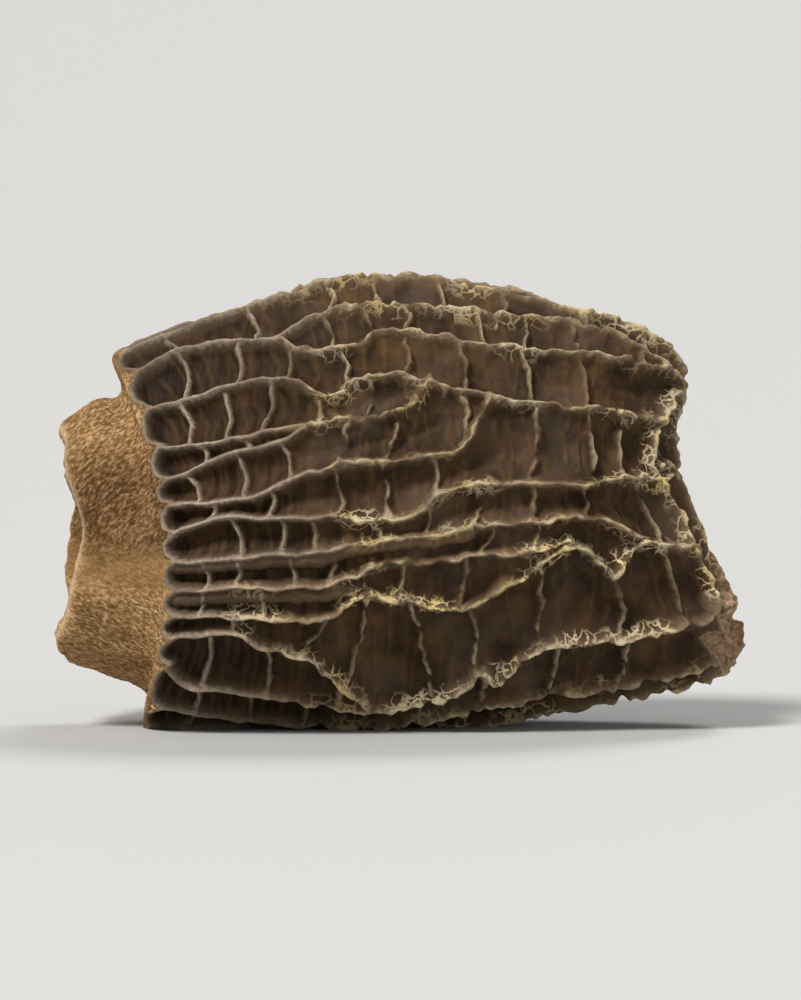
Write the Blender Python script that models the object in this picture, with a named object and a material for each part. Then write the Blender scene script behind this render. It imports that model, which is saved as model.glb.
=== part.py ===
"""A dried morel: the hollow, pitted cap with a short cut stub of its stem, lying on its side.

Frame: metres, +X from the cut stem to the tip, +Y away from the side that shows best, +Z up.
The origin is at the middle of the underside. Lengths below are in millimetres until the end.
"""

import math

import bmesh
import bpy
import numpy as np
from mathutils import Vector, kdtree

MM = 0.001

# The body's outline: (along, half height, half depth, centre height), from the tip's pole over
# the cap and its margin, down the stem stub to the cut rim, and back inside to the end of the hollow.
OUTER_CAP = (
    (35.0, 0.0, 0.0, 10.6),
    (34.7, 4.4, 2.9, 10.8),
    (33.5, 7.6, 5.0, 11.2),
    (30.6, 9.5, 7.1, 11.4),
    (26.0, 10.8, 8.9, 11.6),
    (20.5, 11.7, 9.8, 11.8),
    (14.0, 11.8, 10.5, 11.8),
    (8.5, 11.0, 9.9, 11.0),
    (5.3, 10.1, 9.0, 10.2),
    (4.4, 9.4, 8.3, 10.0),
)
STEM_STUB = (
    (4.6, 8.0, 7.2, 10.1),
    (3.8, 7.2, 6.5, 10.2),
    (2.0, 6.7, 5.9, 10.4),
    (0.4, 5.9, 5.5, 10.1),
)
HOLLOW = (
    (0.0, 5.4, 5.0, 10.1),
    (0.4, 4.9, 4.6, 10.1),
    (4.0, 5.4, 4.9, 10.2),
    (8.0, 8.2, 7.4, 10.8),
    (14.0, 9.4, 8.1, 11.6),
    (20.5, 9.3, 7.4, 11.7),
    (26.0, 8.2, 6.0, 11.6),
    (29.8, 5.8, 3.4, 11.4),
    (31.2, 0.0, 0.0, 11.3),
)
PER_SPAN = 24

# The cap's margin isn't square to the body: it leans by this much, and straightens over this reach.
MARGIN_AT = 4.6
MARGIN_SADDLE = 0.95
MARGIN_SLANT = 0.6
MARGIN_REACH = 3.2

# The blunt tip leans: drawn back at one height and pushed out at another, as (height, spread, by how much).
TIP_LEAN = (
    (14.2, 4.8, -2.7),
    (5.0, 2.8, 0.9),
)
TIP_FROM = 26.0
TIP_FADE = 8.0

# The cut rim: it is cut back at these angles, as (degrees, spread, by how much), which leaves the far
# wall in sight past the near one. Small waves, as (how many round, phase, size), make it uneven.
RIM_NOTCHES = (
    (-8.0, 42.0, 0.85),
    (180.0, 52.0, 0.4),
)
RIM_WAVES = (
    (3, 1.0, 0.2),
    (7, 0.4, 0.12),
)
RIM_REACH = 2.4

# Relief of the net, crest to pit floor. A rib is a rounded crest on a wide, low foot.
# Wide pits sag below it, away from the main ribs.
PIT_DEPTH = 1.1
CREST_RADIUS = 0.42
CROSS_CREST_RADIUS = 0.34
FOOT_WIDTH = 1.35
FOOT_SHARE = 0.3
CROSS_RIB_RISE = 0.7
SAG = 0.45
SAG_REACH = 1.7
RIB_STEP = 0.15

# The relief starts this far from the margin, and is shallower than this far from the tip's pole.
MARGIN_BAND = 0.9
TIP_BAND = 3.5
TIP_SHARE = 0.45

# Main ribs on the side that shows: (along, height above the ground), from the margin to the tip.
FRONT_RIBS = (
    ((4.6, 18.6), (7.2, 20.3), (10.7, 20.6), (12.4, 20.2), (15.2, 20.7), (16.9, 21.2), (23.1, 20.3), (29.0, 19.4),
     (32.2, 18.9)),
    ((4.6, 16.9), (7.8, 18.0), (10.9, 18.7), (13.5, 17.9), (15.2, 18.9), (18.0, 18.9), (21.7, 17.8), (26.6, 17.0),
     (33.7, 16.0)),
    ((4.6, 15.0), (9.5, 15.8), (12.4, 16.5), (15.2, 16.8), (17.5, 17.5), (18.6, 18.9)),
    ((4.6, 13.4), (6.7, 14.1), (8.7, 14.9), (11.0, 15.5), (12.6, 16.5)),
    ((4.6, 12.2), (9.5, 12.6), (11.2, 13.3), (13.2, 14.2), (15.2, 14.6), (19.5, 15.1), (20.6, 16.0), (21.7, 17.8)),
    ((4.6, 10.7), (8.4, 11.6), (11.2, 11.6), (17.2, 11.9), (19.5, 13.2), (22.3, 13.4), (25.5, 13.0), (29.0, 13.2),
     (34.2, 13.4)),
    ((4.6, 9.2), (8.1, 9.4), (12.9, 9.8), (15.2, 10.4), (20.9, 11.2), (25.4, 11.3), (28.0, 11.0), (30.0, 10.2)),
    ((4.6, 7.7), (8.1, 7.8), (12.4, 8.0), (14.6, 8.5), (16.0, 9.2), (19.2, 9.6), (23.7, 9.6), (25.7, 9.9)),
    ((4.6, 6.4), (11.2, 6.2), (13.5, 6.4), (15.8, 7.7), (17.8, 7.2), (20.9, 6.8), (23.7, 8.5), (26.0, 9.6),
     (27.1, 8.8), (28.1, 7.9), (28.7, 9.0), (30.5, 9.9), (34.0, 10.2)),
    ((4.6, 5.2), (8.7, 5.4), (10.1, 4.7), (12.9, 4.0), (13.8, 3.1), (16.0, 1.7)),
    ((4.6, 3.9), (6.1, 2.7), (8.1, 2.4), (11.2, 2.0), (13.5, 1.6), (16.6, 1.6), (20.0, 2.1), (21.7, 3.3), (22.6, 2.7),
     (24.3, 4.1), (28.0, 4.7), (31.7, 6.1), (34.4, 7.2)),
    ((4.6, 1.7), (9.5, 0.7), (16.0, 0.5), (22.3, 1.3), (27.0, 2.0), (30.5, 3.0), (33.7, 4.4)),
    ((10.7, 20.6), (13.0, 21.9), (17.0, 22.5), (22.0, 22.0), (28.0, 21.0), (33.4, 18.4)),
)
# Links between them: (rib, along there, next rib, along there), with the ribs counted from the top.
FRONT_LINKS = (
    (0, 6.6, 1, 6.4), (0, 8.9, 1, 8.8), (0, 11.4, 1, 11.2), (0, 14.0, 1, 14.3), (0, 17.4, 1, 17.2),
    (0, 20.2, 1, 20.6), (0, 23.6, 1, 23.9), (0, 26.6, 1, 27.0),
    (1, 6.2, 2, 6.3), (1, 8.3, 2, 8.3), (1, 10.6, 2, 10.1), (1, 12.7, 2, 12.9), (1, 15.6, 2, 15.3),
    (2, 7.0, 3, 7.1), (2, 9.2, 3, 9.6),
    (2, 14.4, 4, 14.1), (2, 16.8, 4, 16.4), (1, 20.4, 4, 20.0),
    (3, 6.0, 4, 6.6), (3, 9.0, 4, 9.4), (3, 11.2, 4, 11.7),
    (4, 7.6, 5, 7.4), (4, 10.8, 5, 10.6), (4, 13.8, 5, 14.2), (4, 16.2, 5, 16.6), (4, 18.6, 5, 18.9),
    (1, 24.2, 5, 23.6), (1, 27.0, 5, 27.4), (1, 30.2, 5, 30.4),
    (5, 8.7, 6, 9.2), (5, 11.2, 6, 11.3), (5, 12.9, 6, 12.9), (5, 15.9, 6, 16.1), (5, 18.6, 6, 18.4),
    (5, 21.0, 6, 20.8), (5, 23.7, 6, 23.6), (5, 26.4, 6, 26.6),
    (6, 6.8, 7, 7.0), (6, 8.9, 7, 8.8), (6, 11.6, 7, 11.9), (6, 14.0, 7, 13.6), (6, 19.0, 7, 18.6),
    (6, 21.7, 7, 21.2), (6, 24.0, 7, 23.7),
    (7, 6.7, 8, 6.7), (7, 10.0, 8, 10.3), (7, 17.5, 8, 17.3), (7, 20.6, 8, 20.3), (5, 31.6, 8, 31.9),
    (8, 8.4, 9, 8.6), (8, 13.8, 9, 12.2), (8, 15.8, 10, 14.1), (8, 17.8, 10, 19.3), (8, 24.2, 10, 24.3),
    (8, 28.1, 10, 28.2), (8, 20.9, 10, 21.4), (8, 31.6, 10, 31.2),
    (9, 7.3, 10, 7.0), (9, 10.3, 10, 10.4), (10, 6.6, 11, 6.7), (10, 9.2, 11, 9.4), (10, 12.3, 11, 12.1),
    (10, 15.2, 11, 15.4), (10, 18.4, 11, 18.2), (10, 21.9, 11, 21.6), (10, 25.2, 11, 25.0), (10, 28.4, 11, 28.2),
)

# The upper two ribs part at this distance: links start from the one before it and the other after it.
FORK_AT = 11.5

# Main ribs round the rest of the cap, placed by rule: every second one joins a neighbour.
HIDDEN_RIBS = 18
HIDDEN_ARC = (80.0, 287.0)
HIDDEN_UNEVEN = 0.18
HIDDEN_WANDER = 3.2
HIDDEN_RIPPLE = 1.6
HIDDEN_JOIN = (10.0, 22.0)
JOIN_OVER = 4.0
LINK_GAP = (1.7, 3.1)
LINK_SLANT = 0.5
LINK_BOW = 0.25
GAP_GROWTH = 0.02
SEED = 23

# Two rings of ribs round the tip, and the ribs between the rings: (degrees, twist on the way).
TIP_RIB_AT = 33.6
INNER_TIP_RIB_AT = 34.83
TIP_SPOKES = ((-74, 16), (-30, -14), (22, 16), (74, -12), (118, 14), (168, -14), (222, 12))

# The large creases and hollows that drying left: (along, across, height, radius, depth).
DENTS = (
    (26.5, -9.0, 6.8, 4.6, 1.0),
    (19.0, -10.5, 5.0, 3.6, 0.7),
    (15.0, 9.5, 16.0, 6.0, 1.5),
    (24.0, 8.0, 8.0, 5.0, 1.2),
    (9.0, 6.5, 19.0, 4.0, 0.8),
)
DENT_MIDDLE = (17.0, 0.0, 11.5)
WARP = 0.6
WARP_WAVELENGTH = 16.0
NEAR_WARP_SHARE = 0.24

# The ground has worn the lowest crests to a small flat.
WORN_FLAT = 0.65
WORN_AGAIN = 0.06

# Mesh fineness before and after the flats are thinned out. The rows run from the tip's pole, past the
# margin and the rim at these shares, to the pole inside.
AROUND = 360
ROWS = 230
MARGIN_ROW = 0.66
RIM_ROW = 0.8
PAST_RIM = 0.6
TRIANGLES = 11800


def eased(share):
    """A share from 0 to 1, clipped and eased at both ends."""
    share = np.clip(share, 0, 1)
    return share**2 * (3 - 2 * share)


def smooth_line(points, per_span=PER_SPAN):
    """A smooth curve through the points, as a dense array."""
    points = np.asarray(points, float)
    ends = np.vstack([2 * points[0] - points[1], points, 2 * points[-1] - points[-2]])
    share = np.linspace(0, 1, per_span, endpoint=False)[:, None]
    spans = []
    for before, start, end, after in zip(ends, ends[1:], ends[2:], ends[3:]):
        bend = 2 * before - 5 * start + 4 * end - after
        twist = 3 * start - before - 3 * end + after
        spans.append(start + 0.5 * share * (end - before + share * (bend + share * twist)))
    return np.vstack([*spans, points[-1:]])


def outline():
    """The body's outline by its own length: columns length, along, half height, half depth, centre."""
    line = smooth_line([*OUTER_CAP, *STEM_STUB, *HOLLOW])
    line[:, 1:3] = np.maximum(line[:, 1:3], 0)
    steps = np.hypot(np.diff(line[:, 0]), np.diff(line[:, 1:3].mean(axis=1)))
    return np.column_stack([np.r_[0, np.cumsum(steps)], line])


OUTLINE = outline()
MARGIN_INDEX = (len(OUTER_CAP) - 1) * PER_SPAN
RIM_INDEX = (len(OUTER_CAP) + len(STEM_STUB)) * PER_SPAN
CAP = OUTLINE[:MARGIN_INDEX + 1]
MARGIN = OUTLINE[MARGIN_INDEX, 0]
RIM = OUTLINE[RIM_INDEX, 0]


def section(length):
    """Along, half height, half depth and centre height of the body at a length on its outline."""
    return [np.interp(length, OUTLINE[:, 0], OUTLINE[:, column]) for column in range(1, 5)]


def length_at(along):
    """The outline length at which the cap's outside reaches a distance along the body."""
    return np.interp(-np.asarray(along, float), -CAP[:, 1], CAP[:, 0])


def surface(length, angle):
    """Points of the smooth body. The angle is in radians: 0 faces the side that shows, 90 degrees is up."""
    along, half_height, half_depth, centre = section(length)
    margin_lean = MARGIN_SADDLE * np.cos(2 * angle) - MARGIN_SLANT * np.sin(angle)
    near_margin = np.exp(-(((length - MARGIN) / MARGIN_REACH) ** 2))
    cut = sum(size * np.sin(count * angle + phase) for count, phase, size in RIM_WAVES)
    for degrees, spread, depth in RIM_NOTCHES:
        away = (np.degrees(angle) - degrees + 180) % 360 - 180
        cut += depth * np.exp(-((away / spread) ** 2))
    near_rim = np.exp(-(((length - RIM) / RIM_REACH) ** 2))
    x = along + margin_lean * near_margin + cut * near_rim
    y = -half_depth * np.cos(angle)
    z = centre + half_height * np.sin(angle)
    for height, spread, push in TIP_LEAN:
        x += push * np.exp(-(((z - height) / spread) ** 2)) * eased((along - TIP_FROM) / TIP_FADE)
    return np.column_stack([x, y, z])


def outward(length, angle):
    """Unit normals of the smooth body."""
    step = 0.02
    down = surface(length + step, angle) - surface(length - step, angle)
    across = surface(length, angle + step) - surface(length, angle - step)
    normal = np.cross(across, down)
    return normal / np.maximum(np.linalg.norm(normal, axis=1), 1e-9)[:, None]


def angle_of_height(along, height):
    """The angle at which the side that shows has a given height."""
    _, half_height, _, centre = section(length_at(along))
    return np.arcsin(np.clip((np.asarray(height) - centre) / np.maximum(half_height, 0.1), -0.99, 0.99))


def front_ribs():
    """The ribs on the side that shows, each as rows of (along, angle)."""
    ribs = []
    for points in FRONT_RIBS:
        line = smooth_line(points, 12)
        ribs.append(np.column_stack([line[:, 0], angle_of_height(line[:, 0], line[:, 1])]))
    return ribs


def hidden_ribs(draw):
    """The ribs round the rest of the cap. Every second one joins a neighbour before the tip."""
    ribs = []
    start, end = HIDDEN_ARC
    step = (end - start) / (HIDDEN_RIBS - 1)
    for number in range(HIDDEN_RIBS):
        base = start + step * (number + draw.uniform(-HIDDEN_UNEVEN, HIDDEN_UNEVEN))
        phase, rate = draw.uniform(0, 2 * math.pi), draw.uniform(0.25, 0.42)
        joins = number % 2 == 1
        last = draw.uniform(*HIDDEN_JOIN) if joins else TIP_RIB_AT
        along = np.linspace(MARGIN_AT, last, 60)
        wander = HIDDEN_WANDER * np.sin(along * rate + phase) + HIDDEN_RIPPLE * np.sin(along * 1.3 + 2 * phase)
        degrees = base + wander
        if joins:
            degrees += step * draw.choice((-1, 1)) * eased((along - last) / JOIN_OVER + 1)
        ribs.append(np.column_stack([along, np.radians(degrees)]))
    return ribs


def link(rib_a, along_a, rib_b, along_b):
    """A short cross rib from one rib to another, bowed a little towards the tip."""
    angle_a = np.interp(along_a, rib_a[:, 0], rib_a[:, 1])
    angle_b = np.interp(along_b, rib_b[:, 0], rib_b[:, 1])
    share = np.linspace(0, 1, 20)
    bow = LINK_BOW * np.sin(math.pi * share)
    along = along_a + (along_b - along_a) * share + bow
    return np.column_stack([along, angle_a + (angle_b - angle_a) * share])


def rungs(rib_a, rib_b, draw):
    """Cross ribs between two neighbours, at gaps that vary and widen towards the tip."""
    found = []
    along = max(rib_a[0, 0], rib_b[0, 0]) + draw.uniform(*LINK_GAP) * 0.8
    while along < min(rib_a[-1, 0], rib_b[-1, 0]) - 0.8:
        found.append(link(rib_a, along, rib_b, along + draw.uniform(-LINK_SLANT, LINK_SLANT)))
        along += draw.uniform(*LINK_GAP) * (1 + GAP_GROWTH * (along - MARGIN_AT))
    return found


def hidden_links(ribs, draw):
    """The rungs round the hidden part. Where a rib has joined its neighbour, they cross to the next one."""
    found = []
    for rib_a, rib_b in zip(ribs, ribs[1:]):
        found += rungs(rib_a, rib_b, draw)
    for before, joined, after in zip(ribs, ribs[1:], ribs[2:]):
        past = joined[-1, 0] + 0.6
        if past < min(before[-1, 0], after[-1, 0]):
            found += rungs(before[before[:, 0] > past], after[after[:, 0] > past], draw)
    return found


def end_ribs():
    """The rounded edges that close the cells at the cap's margin and round its tip."""
    angle = np.linspace(-math.pi, math.pi, 300)
    margin = MARGIN_AT + 0.35 + 0.22 * np.sin(9 * angle) + 0.12 * np.sin(17 * angle + 1)
    tip = TIP_RIB_AT + 0.35 * np.sin(5 * angle + 2) + 0.2 * np.sin(11 * angle)
    return [np.column_stack([margin, angle]), np.column_stack([tip, angle])]


def tip_ribs():
    """The ribs that run on over the blunt tip, and the small inner ring where they end."""
    share = np.linspace(0, 1, 40)
    along = TIP_RIB_AT + (INNER_TIP_RIB_AT - TIP_RIB_AT) * share
    spokes = [np.column_stack([along, np.radians(start + twist * share)]) for start, twist in TIP_SPOKES]
    angle = np.linspace(-math.pi, math.pi, 120)
    inner = INNER_TIP_RIB_AT + 0.05 * np.sin(3 * angle + 1)
    return [*spokes, np.column_stack([inner, angle])]


def net():
    """The main ribs and the cross ribs."""
    draw = np.random.default_rng(SEED)
    front = front_ribs()
    hidden = hidden_ribs(draw)
    first, fork = front[0], front[-1]
    last = front[-2] + (0, 2 * math.pi)
    links = [link(front[a], along_a, front[b], along_b) for a, along_a, b, along_b in FRONT_LINKS]
    links += rungs(first[first[:, 0] < FORK_AT], hidden[0], draw)
    links += rungs(fork[fork[:, 0] > FORK_AT], hidden[0], draw)
    links += rungs(fork[fork[:, 0] > FORK_AT], first[first[:, 0] > FORK_AT], draw)
    links += hidden_links([*hidden, last], draw)
    return [*front, *hidden, *end_ribs(), *tip_ribs()], links


def crest_tree(lines):
    """A search tree of points along the crests, on the smooth body."""
    found = []
    for line in lines:
        points = surface(length_at(line[:, 0]), line[:, 1])
        run = np.r_[0, np.cumsum(np.linalg.norm(np.diff(points, axis=0), axis=1))]
        at = np.linspace(0, run[-1], max(2, int(run[-1] / RIB_STEP)))
        found.append(np.column_stack([np.interp(at, run, points[:, axis]) for axis in range(3)]))
    points = np.vstack(found)
    tree = kdtree.KDTree(len(points))
    for index, point in enumerate(points):
        tree.insert(point, index)
    tree.balance()
    return tree


def distances(tree, points):
    """Each point's distance from the nearest crest."""
    return np.array([tree.find(point)[2] for point in points])


def ridge(distance, crest_radius):
    """The rise of a rib's side, from 1 on its crest to 0 at its foot."""
    crest = np.exp(-((distance / crest_radius) ** 2))
    foot = np.clip(1 - distance / FOOT_WIDTH, 0, 1) ** 2
    return (1 - FOOT_SHARE) * crest + FOOT_SHARE * foot


def relief(length, points):
    """How far each point of the cap's outside sinks below the crests."""
    main, cross = net()
    from_main = distances(crest_tree(main), points)
    main_rise = ridge(from_main, CREST_RADIUS)
    cross_rise = CROSS_RIB_RISE * ridge(distances(crest_tree(cross), points), CROSS_CREST_RADIUS)
    depth = PIT_DEPTH * (1 - np.maximum(main_rise, cross_rise))
    depth += SAG * (1 - np.exp(-((from_main / SAG_REACH) ** 2)))
    near_tip = np.clip(length / TIP_BAND, TIP_SHARE, 1)
    near_margin = np.clip((MARGIN - length) / MARGIN_BAND, 0, 1)
    return depth * near_tip * near_margin


def waves(points, wavelength, seed, count=7):
    """A smooth seeded field, about -1 to 1, at each point."""
    draw = np.random.default_rng(seed)
    directions = draw.normal(size=(count, 3))
    directions /= np.linalg.norm(directions, axis=1)[:, None]
    phases = draw.uniform(0, 2 * math.pi, count)
    return np.sin(points @ directions.T * (2 * math.pi / wavelength) + phases).sum(axis=1) / math.sqrt(count)


def dried(points):
    """The points after drying: dents sink towards the middle, and the whole body warps a little."""
    moved = points.copy()
    for along, across, height, radius, depth in DENTS:
        centre = np.array([along, across, height])
        inwards = (np.array(DENT_MIDDLE) - centre) * (0, 1, 1)
        inwards /= np.linalg.norm(inwards)
        fall = np.exp(-((points - centre) ** 2).sum(axis=1) / radius**2)
        moved += depth * fall[:, None] * inwards
    share = (1 + NEAR_WARP_SHARE + (1 - NEAR_WARP_SHARE) * np.tanh(points[:, 1] / 4)) / 2
    for axis in range(3):
        moved[:, axis] += WARP * share * waves(points, WARP_WAVELENGTH, SEED + axis)
    return moved


def settled(points, worn):
    """The points resting on a worn flat, with the origin at the middle of the underside."""
    ground = points[:, 2].min() + worn
    points[:, 2] = np.maximum(points[:, 2], ground)
    low, high = points.min(axis=0), points.max(axis=0)
    return points - ((low[0] + high[0]) / 2, (low[1] + high[1]) / 2, ground)


def body_points(sphere_points):
    """Where each vertex of a unit sphere goes: one pole is the tip, and the other the end of the hollow."""
    share = np.arccos(np.clip(sphere_points[:, 2], -1, 1)) / math.pi
    angle = np.arctan2(sphere_points[:, 1], sphere_points[:, 0])
    length = np.interp(share, (0, MARGIN_ROW, RIM_ROW, 1), (0, MARGIN, RIM + PAST_RIM, OUTLINE[-1, 0]))
    points = surface(length, angle)
    on_cap = length < MARGIN
    points[on_cap] -= outward(length[on_cap], angle[on_cap]) * relief(length[on_cap], points[on_cap])[:, None]
    return settled(dried(points), WORN_FLAT)


def material(name, colour, roughness):
    """A Principled BSDF of one colour."""
    made = bpy.data.materials.new(name)
    made.use_nodes = True
    shader = made.node_tree.nodes["Principled BSDF"]
    shader.inputs["Base Color"].default_value = (*colour, 1)
    shader.inputs["Roughness"].default_value = roughness
    shader.inputs["Metallic"].default_value = 0
    return made


def thinned(body):
    """A copy of the mesh with the smooth parts' small faces merged, worn flat again where it rests."""
    thinner = body.modifiers.new("thinner", "DECIMATE")
    thinner.ratio = TRIANGLES / (2 * AROUND * (ROWS - 1))
    thinner.use_collapse_triangulate = True
    mesh = bpy.data.meshes.new_from_object(body.evaluated_get(bpy.context.evaluated_depsgraph_get()))
    body.modifiers.remove(thinner)
    points = settled(np.array([vertex.co for vertex in mesh.vertices]) / MM, WORN_AGAIN)
    mesh.vertices.foreach_set("co", (points * MM).ravel())
    mesh.update()
    return mesh


def morel(collection):
    """The whole dried morel, which grew as one piece."""
    mesh = bpy.data.meshes.new("morel")
    shape = bmesh.new()
    bmesh.ops.create_uvsphere(shape, u_segments=AROUND, v_segments=ROWS, radius=1)
    points = body_points(np.array([vertex.co for vertex in shape.verts]))
    for vertex, point in zip(shape.verts, points):
        vertex.co = Vector(point * MM)
    if shape.calc_volume(signed=True) < 0:
        bmesh.ops.reverse_faces(shape, faces=shape.faces)
    shape.to_mesh(mesh)
    shape.free()
    mesh.shade_smooth()
    body = bpy.data.objects.new("morel", mesh)
    collection.objects.link(body)
    body.data = thinned(body)
    body.data.materials.append(material("dried_flesh", (0.07, 0.045, 0.03), 0.75))
    return body


def main():
    for old in list(bpy.data.objects):
        bpy.data.objects.remove(old)
    collection = bpy.data.collections.new("dried_morel")
    bpy.context.scene.collection.children.link(collection)
    morel(collection)


main()
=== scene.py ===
"""The looks of a dried morel: a hollow cap with a net of ribs round deep pits, and a short cut stem stub.

It lies on its side on a pale floor. Objects are in metres, +X from the cut stem to the tip and +Z up.
The functions that give the form work in millimetres, and the mesh is made from them in metres.
"""

import math

import bmesh
import bpy
import numpy as np
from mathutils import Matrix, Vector, kdtree, noise


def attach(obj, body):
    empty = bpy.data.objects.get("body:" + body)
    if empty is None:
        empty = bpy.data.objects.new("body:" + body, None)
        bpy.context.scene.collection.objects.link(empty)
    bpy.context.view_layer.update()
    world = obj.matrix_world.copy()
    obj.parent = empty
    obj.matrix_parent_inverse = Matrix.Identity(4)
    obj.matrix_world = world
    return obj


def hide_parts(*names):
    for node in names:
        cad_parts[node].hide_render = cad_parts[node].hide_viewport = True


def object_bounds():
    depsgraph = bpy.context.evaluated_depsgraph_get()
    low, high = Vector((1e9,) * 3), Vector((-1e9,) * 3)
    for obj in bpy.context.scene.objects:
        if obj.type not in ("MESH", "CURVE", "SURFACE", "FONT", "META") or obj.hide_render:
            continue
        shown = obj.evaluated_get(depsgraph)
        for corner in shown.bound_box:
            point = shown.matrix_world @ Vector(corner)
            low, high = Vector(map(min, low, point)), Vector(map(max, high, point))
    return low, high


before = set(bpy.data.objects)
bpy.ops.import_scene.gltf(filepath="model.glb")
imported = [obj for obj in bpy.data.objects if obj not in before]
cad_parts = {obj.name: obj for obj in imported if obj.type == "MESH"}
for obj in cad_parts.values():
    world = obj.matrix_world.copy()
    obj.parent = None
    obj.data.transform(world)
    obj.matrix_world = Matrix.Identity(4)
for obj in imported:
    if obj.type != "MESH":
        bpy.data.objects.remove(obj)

CAD_LOW, CAD_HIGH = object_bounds()
MM = 0.001

# The body's outline: (along, half height, half depth, centre height), from the tip's pole over
# the cap and its margin, down the stem stub to the cut rim, and back inside to the end of the hollow.
OUTER_CAP = (
    (35.0, 0.0, 0.0, 10.6),
    (34.7, 4.4, 2.9, 10.8),
    (33.5, 7.6, 5.0, 11.2),
    (30.6, 9.5, 7.1, 11.4),
    (26.0, 10.8, 8.9, 11.6),
    (20.5, 11.7, 9.8, 11.8),
    (14.0, 11.8, 10.5, 11.8),
    (8.5, 11.0, 9.9, 11.0),
    (5.3, 10.1, 9.0, 10.2),
    (4.4, 9.4, 8.3, 10.0),
)
STEM_STUB = (
    (4.6, 8.0, 7.2, 10.1),
    (3.8, 7.2, 6.5, 10.2),
    (2.0, 6.7, 5.9, 10.4),
    (0.4, 5.9, 5.5, 10.1),
)
HOLLOW = (
    (0.0, 5.4, 5.0, 10.1),
    (0.4, 4.9, 4.6, 10.1),
    (4.0, 5.4, 4.9, 10.2),
    (8.0, 8.2, 7.4, 10.8),
    (14.0, 9.4, 8.1, 11.6),
    (20.5, 9.3, 7.4, 11.7),
    (26.0, 8.2, 6.0, 11.6),
    (29.8, 5.8, 3.4, 11.4),
    (31.2, 0.0, 0.0, 11.3),
)
PER_SPAN = 24

# The cap's margin isn't square to the body: it leans by this much, and straightens over this reach.
MARGIN_AT = 4.6
MARGIN_SADDLE = 0.95
MARGIN_SLANT = 0.6
MARGIN_REACH = 3.2

# The blunt tip leans: drawn back at one height and pushed out at another, as (height, spread, by how much).
TIP_LEAN = (
    (14.2, 4.8, -2.7),
    (5.0, 2.8, 0.9),
)
TIP_FROM = 26.0
TIP_FADE = 8.0

# The cut rim: it is cut back at these angles, as (degrees, spread, by how much), which leaves the far
# wall in sight past the near one. Small waves, as (how many round, phase, size), make it uneven.
RIM_NOTCHES = (
    (-8.0, 42.0, 0.85),
    (180.0, 52.0, 0.4),
)
RIM_WAVES = (
    (3, 1.0, 0.2),
    (7, 0.4, 0.12),
)
RIM_REACH = 2.4

# The pale band is just before the rim's end, and the hollow's colour starts past it.
PALE_RIM_BEFORE = 0.1
PALE_RIM_WIDTH = 0.25
HOLLOW_FROM = 0.2
HOLLOW_OVER = 1.2

# Relief of the net, crest to pit floor. A rib is a rounded crest on a wide, low foot. Near the stem the
# crests are whole, and towards the tip they are frayed: thinner, on a wider foot. Wide pits sag, and fine
# folds cross them.
PIT_DEPTH = 1.1
CREST_RADIUS = 0.3
FRAYED_CREST_RADIUS = 0.22
CROSS_CREST_RADIUS = 0.19
CREST_UNEVEN = 0.25
FOOT_WIDTH = 1.35
FRAYED_FOOT_WIDTH = 1.9
FOOT_SHARE = 0.3
FRAYED_FOOT_SHARE = 0.5
CROSS_RIB_RISE = 0.7
FOLD_RADIUS = 0.14
FOLD_RISE = 0.16
FOLD_SHARE = 0.6
SAG = 0.45
SAG_REACH = 1.7
RIB_STEP = 0.08
FRAY_FROM = 8.5
FRAY_OVER = 7.0
FRAY_UNEVEN = 0.5

# How far the lines of the net waver, and how rough they are: (where whole, where frayed or crumbled).
WAVER = (0.12, 0.26)
FINE_WAVER = (0.03, 0.11)
FOLD_WAVER = 0.15
CREST_WAVES = (0.05, 0.17)
CRUMBS = (0.03, 0.10)
CROSS_CRUMBS = 0.6
FIBRES = (0.01, 0.03)
FIBRE_STRETCH = (1, 0.25, 0.25)

# The size of the lumps in each field of noise behind them, and the crumbs' two fields as (share, size).
WAVER_SIZE = 1.1
FINE_WAVER_SIZE = 0.45
FOLD_WAVER_SIZE = 0.7
FRAY_SIZE = 5.0
WIDTH_SIZE = 2.0
FOLD_SIZE = 1.6
CREST_WAVE_SIZE = 0.85
CRUMB_LUMPS = (0.6, 0.3)
FINE_CRUMB_LUMPS = (0.4, 0.16)
FIBRE_SIZE = 0.3
TORN_SIZE = 1.2

# How many points trace the rings and spokes of the net before it is laid on the body.
RING_SAMPLES = 900
INNER_RING_SAMPLES = 120
SPOKE_SAMPLES = 40

# The cells end in round scallops at the margin: this far along in their middle, and further at the ribs.
# The stub's skin starts just outside them.
SCALLOP_AT = 4.44
SCALLOP_CUSP = 0.65
STEM_FROM = 0.02
STEM_OVER = 0.12

# The relief starts this far from the margin, and is shallower than this far from the tip's pole.
MARGIN_BAND = 0.6
TIP_BAND = 3.5
TIP_SHARE = 0.45

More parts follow.
